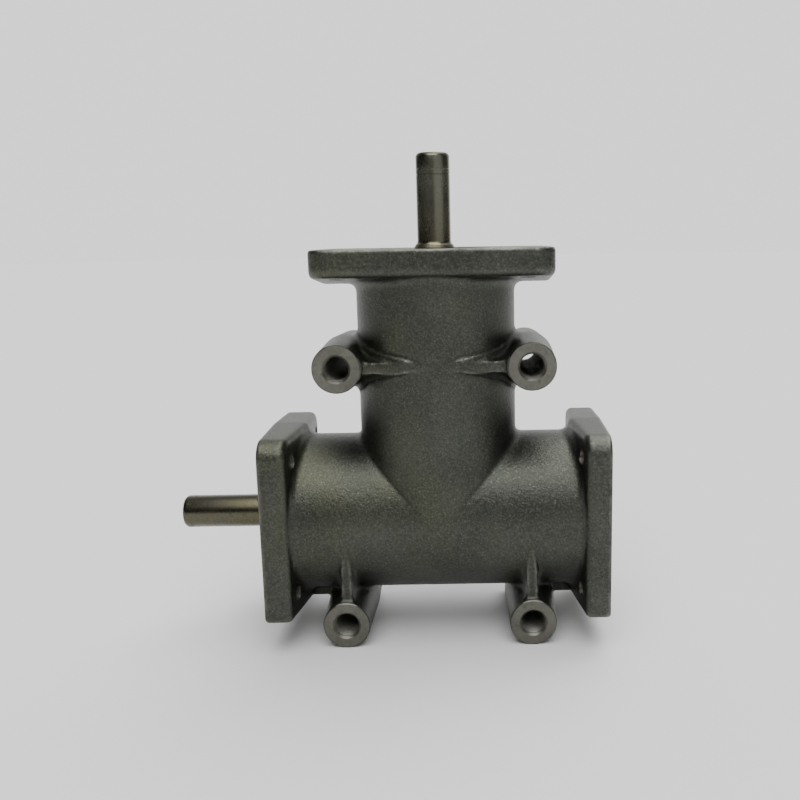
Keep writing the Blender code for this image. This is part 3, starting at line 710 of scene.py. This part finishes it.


# The stubs' ends take the collar finish as painted shade: it darkens their rims, where the overhead panel would leave
# a bright highlight.
two_tone(horizontal, steel_h, collar, "X", -73.9, -71.6, 110.9)
two_tone(vertical, steel_v, collar, "Z", 113.1, 114.5, 150.4)

seal_rubber = rubber("seal_rubber", (0.030, 0.030, 0.031))
cap_rubber = rubber("cap_rubber", (0.034, 0.034, 0.035))
for made, look in ((left_seal, seal_rubber), (top_seal, seal_rubber), (end_cap, cap_rubber)):
    made.data.materials.clear()
    made.data.materials.append(look)

gear_steel = plain_metal("gear_steel", (0.22, 0.225, 0.23), (0.36, 0.365, 0.37), 0.36, 800.0)
bearing_steel = plain_metal("bearing_steel", (0.50, 0.51, 0.52), (0.62, 0.63, 0.64), 0.20, 1400.0)
spring_steel = plain_metal("spring_steel", (0.07, 0.07, 0.075), (0.12, 0.12, 0.125), 0.42, 900.0)
sleeve_steel = plain_metal("sleeve_steel", (0.34, 0.335, 0.31), (0.46, 0.45, 0.42), 0.33, 900.0)
cage_brass = plain_metal("cage_brass", (0.48, 0.36, 0.13), (0.66, 0.52, 0.24), 0.34, 900.0)
KEPT = {
    "gear_key": spring_steel, "pinion_key": spring_steel, "bevel_gear": gear_steel, "bevel_pinion": gear_steel,
    "left_bearing_outer_circlip": spring_steel, "left_bearing_inner_circlip": spring_steel,
    "right_bearing_circlip": spring_steel, "lower_bearing_circlip": spring_steel,
    "upper_bearing_circlip": spring_steel, "gear_front_circlip": spring_steel,
    "gear_back_circlip": spring_steel, "pinion_circlip": spring_steel, "pinion_spacer": sleeve_steel,
}
for where in ("left", "right", "lower", "upper"):
    KEPT[where + "_bearing_outer_ring"] = bearing_steel
    KEPT[where + "_bearing_inner_ring"] = bearing_steel
    KEPT[where + "_bearing_ball_cage"] = cage_brass
for node, look in KEPT.items():
    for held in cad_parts[node].material_slots:
        held.material = look

# ---------------------------------------------------------------- on the bodies
for made, body, node, finish in (
    (housing, "housing", "housing", "cast_aluminium"),
    (horizontal, "horizontal_shaft", "horizontal_shaft", "shaft_steel"),
    (vertical, "vertical_shaft", "vertical_shaft", "shaft_steel"),
    (left_seal, "housing", "left_oil_seal", "black_rubber"),
    (top_seal, "housing", "top_oil_seal", "black_rubber"),
    (end_cap, "housing", "end_cap", "black_rubber"),
):
    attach(made, body)
    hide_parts(node)

# ---------------------------------------------------------------- floor, light, camera
AMBIENT, LOW_FRONT, LOW_BACK, LOW_LEFT, LOW_RIGHT, SEEN = 0.03, 0.06, 1.4, 0.08, 0.7, 1.36
OVERHEAD, BACK_HIGH = 4.8, 0.5
LOBES = (((0.62, -0.76, 0.20), 14.0, 42.0, 0.55), ((0.25, 0.36, 0.90), 6.0, 27.0, 5.4))
floor_mesh = bpy.data.meshes.new("floor")
bm = bmesh.new()
ring = [bm.verts.new((9.0 * math.cos(TAU * i / 64), 9.0 * math.sin(TAU * i / 64), 0.0)) for i in range(64)]
bm.faces.new(ring)
bm.to_mesh(floor_mesh)
bm.free()
floor = bpy.data.objects.new("floor", floor_mesh)
bpy.context.scene.collection.objects.link(floor)
pale = bpy.data.materials.new("floor_pale")
pale.use_nodes = True
pale.node_tree.nodes["Principled BSDF"].inputs["Base Color"].default_value = (0.71, 0.71, 0.71, 1)
pale.node_tree.nodes["Principled BSDF"].inputs["Roughness"].default_value = 0.9
pale.node_tree.nodes["Principled BSDF"].inputs["Specular IOR Level"].default_value = 0.1
floor_mesh.materials.append(pale)

world = bpy.data.worlds.new("studio")
world.use_nodes = True
bpy.context.scene.world = world
wt = world.node_tree


def wnode(kind, inputs=(), **settings):
    node = wt.nodes.new(kind)
    for key, value in settings.items():
        setattr(node, key, value)
    for key, value in dict(inputs).items():
        if isinstance(value, bpy.types.NodeSocket):
            wt.links.new(value, node.inputs[key])
        else:
            node.inputs[key].default_value = value
    return node


def wspan(value, low_end, high_end, to_low, to_high):
    return wnode("ShaderNodeMapRange", {
        "Value": value, "From Min": low_end, "From Max": high_end, "To Min": to_low, "To Max": to_high,
    }, interpolation_type="SMOOTHSTEP").outputs[0]


def wmath(operation, a, b):
    return wnode("ShaderNodeMath", {0: a, 1: b}, operation=operation).outputs[0]


# The studio: a soft panel overhead, a small fill at the front right, and a pale wall
# behind, low down.
way = wnode("ShaderNodeTexCoord").outputs["Generated"]
part = wnode("ShaderNodeSeparateXYZ", {0: way})
sideways = wmath("MULTIPLY", wspan(part.outputs[0], -0.95, -0.3, LOW_LEFT, 1.0), wspan(part.outputs[0], 0.45, 0.95, 1.0, LOW_RIGHT))
lowness = wspan(part.outputs[2], 0.12, 0.8, 1.0, 0.0)
behind = wspan(part.outputs[1], 0.45, 0.96, LOW_FRONT, LOW_BACK)
surround = wmath("MULTIPLY", lowness, wmath("MULTIPLY", behind, sideways))
above = wmath("MULTIPLY", wspan(part.outputs[1], 0.0, 0.7, 0.0, BACK_HIGH), wspan(part.outputs[2], 0.15, 0.45, 0.0, 1.0))
surround = wmath("ADD", surround, above)


def lobe(towards, inner, outer, power):
    facing = wnode("ShaderNodeVectorMath", {0: way, 1: Vector(towards).normalized()}, operation="DOT_PRODUCT").outputs["Value"]
    return wspan(facing, math.cos(math.radians(outer)), math.cos(math.radians(inner)), 0.0, power)


# The overhead light is a wide panel. Round the x axis it runs from 45 degrees above the
# front horizon to a little past the zenith.
round_x = wmath("ARCTAN2", part.outputs[2], wmath("MULTIPLY", part.outputs[1], -1.0))
panel = wmath("MULTIPLY", wspan(round_x, math.radians(22), math.radians(54), 0.0, 1.0),
              wspan(round_x, math.radians(76), math.radians(122), 1.0, 0.0))
panel = wmath("MULTIPLY", panel, wmath("MULTIPLY", wspan(part.outputs[0], -0.55, -0.30, 0.0, 1.0),
                                       wspan(part.outputs[0], 0.28, 0.56, 1.0, 0.0)))
total = wmath("ADD", wmath("MULTIPLY", panel, OVERHEAD), wmath("ADD", surround, AMBIENT))
for one in LOBES:
    total = wmath("ADD", total, lobe(*one))
light = wnode("ShaderNodeBackground", {"Color": (1.0, 1.0, 1.0, 1.0), "Strength": total})
seen = wnode("ShaderNodeBackground", {"Color": (1.0, 1.0, 1.0, 1.0), "Strength": SEEN})
ray = wnode("ShaderNodeLightPath").outputs["Is Camera Ray"]
both = wnode("ShaderNodeMixShader", {0: ray, 1: light.outputs[0], 2: seen.outputs[0]})
wt.links.new(both.outputs[0], next(n for n in wt.nodes if n.type == "OUTPUT_WORLD").inputs["Surface"])

camera_data = bpy.data.cameras.new("camera")
camera = bpy.data.objects.new("camera", camera_data)
camera_data.sensor_fit = "HORIZONTAL"
camera_data.sensor_width = 36.0
camera_data.lens = 890.322 * 36.0 / 800.0
camera_data.shift_x = (400.0 - 478.081) / 800.0
camera_data.shift_y = 0.0
camera_data.clip_start, camera_data.clip_end = 0.01, 50.0
right = Vector((0.9998611, -0.0077740, -0.0147427))
ahead = Vector((0.0050154, 0.9838953, -0.1786752))
upward = Vector((0.0158943, 0.1785764, 0.9837977))
turn = Matrix((right, upward, -ahead)).transposed()
camera.matrix_world = Matrix.Translation(
    Vector(((15.41 + CX) * MM, -379.245 * MM, (116.657 + CZ) * MM))
) @ turn.to_4x4()
bpy.context.scene.collection.objects.link(camera)
bpy.context.scene.camera = camera
